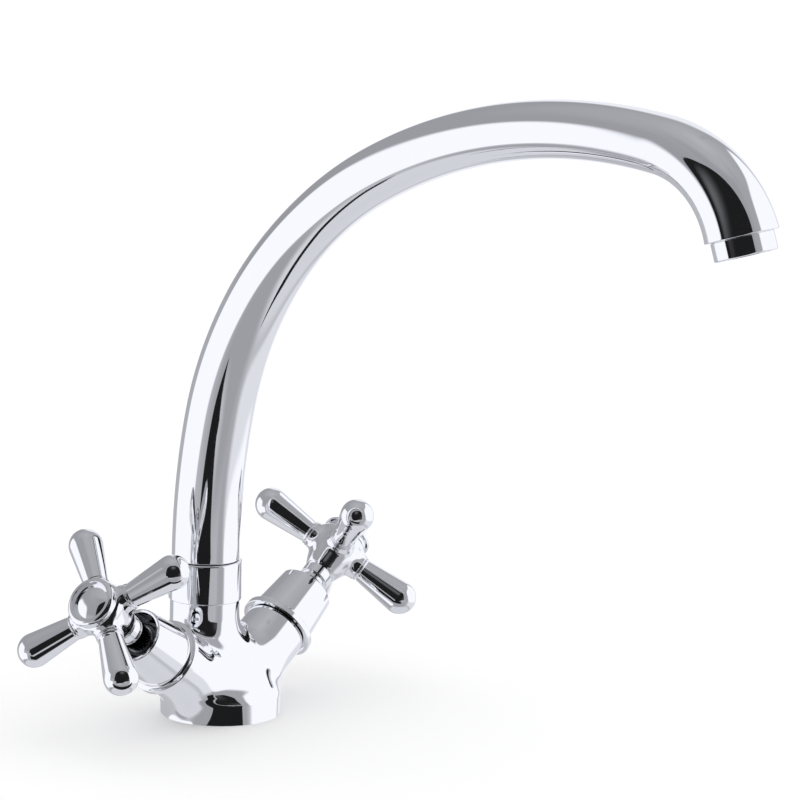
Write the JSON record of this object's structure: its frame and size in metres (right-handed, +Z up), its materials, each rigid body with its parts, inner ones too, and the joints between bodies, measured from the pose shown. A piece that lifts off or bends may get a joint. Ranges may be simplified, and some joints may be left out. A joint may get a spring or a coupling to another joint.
{
  "type": "two handle kitchen faucet",
  "caption": "Chromed kitchen mixer for one deck hole: Y-shaped body, cross handles on sloping branches, tall curved swivel spout that widens at its outlet.",
  "frame": {"origin": "centre of the body's foot, on the deck it stands on", "axes": "+Z up; the spout reaches towards -Y; the hot branch is on -X and the cold branch on +X"},
  "size_m": [0.1864, 0.285, 0.2646],
  "materials": {
    "chrome": "polished",
    "brass": "machined",
    "nickel": "plain",
    "steel": "plain",
    "ceramic": "lapped",
    "seal_rubber": "matte",
    "fibre": "matte",
    "white_plastic": "matte",
    "grey_plastic": "matte"
  },
  "bodies": {
    "body": {"valve_body": "chrome", "foot_gasket": "seal_rubber", "ring_nut": "chrome", "hot_bell_cover": "chrome", "hot_valve_housing": "nickel", "hot_headwork_washer": "fibre", "hot_seat_seal": "seal_rubber", "hot_fixed_disc": "ceramic", "cold_bell_cover": "chrome", "cold_valve_housing": "nickel", "cold_headwork_washer": "fibre", "cold_seat_seal": "seal_rubber", "cold_fixed_disc": "ceramic"},
    "spout": {"spout_tube": "chrome", "spout_nipple": "brass", "spout_seals": "seal_rubber", "slip_rings": "white_plastic", "aerator_housing": "chrome", "aerator_washer": "seal_rubber", "aerator_insert": "grey_plastic", "aerator_screen": "steel"},
    "hot_handle": {"hot_hub": "chrome", "hot_arms": "chrome", "hot_cap": "chrome", "hot_handle_screw": "steel", "hot_spindle": "brass", "hot_moving_disc": "ceramic", "hot_spindle_seals": "seal_rubber", "hot_circlip": "steel"},
    "cold_handle": {"cold_hub": "chrome", "cold_arms": "chrome", "cold_cap": "chrome", "cold_handle_screw": "steel", "cold_spindle": "brass", "cold_moving_disc": "ceramic", "cold_spindle_seals": "seal_rubber", "cold_circlip": "steel"}
  },
  "joints": [
    {"name": "spout_swivel", "type": "hinge", "parent": "body", "child": "spout", "pos_m": [0, 0.0091, 0.05], "axis": [0, 0, 1], "continuous": true},
    {"name": "hot_handle_turn", "type": "hinge", "parent": "body", "child": "hot_handle", "pos_m": [0, 0, 0.0044], "axis": [-0.8271, 0, 0.5621], "range_deg": [0, 180]},
    {"name": "cold_handle_turn", "type": "hinge", "parent": "body", "child": "cold_handle", "pos_m": [0, 0, 0.0044], "axis": [0.8271, 0, 0.5621], "range_deg": [0, 180]}
  ]
}
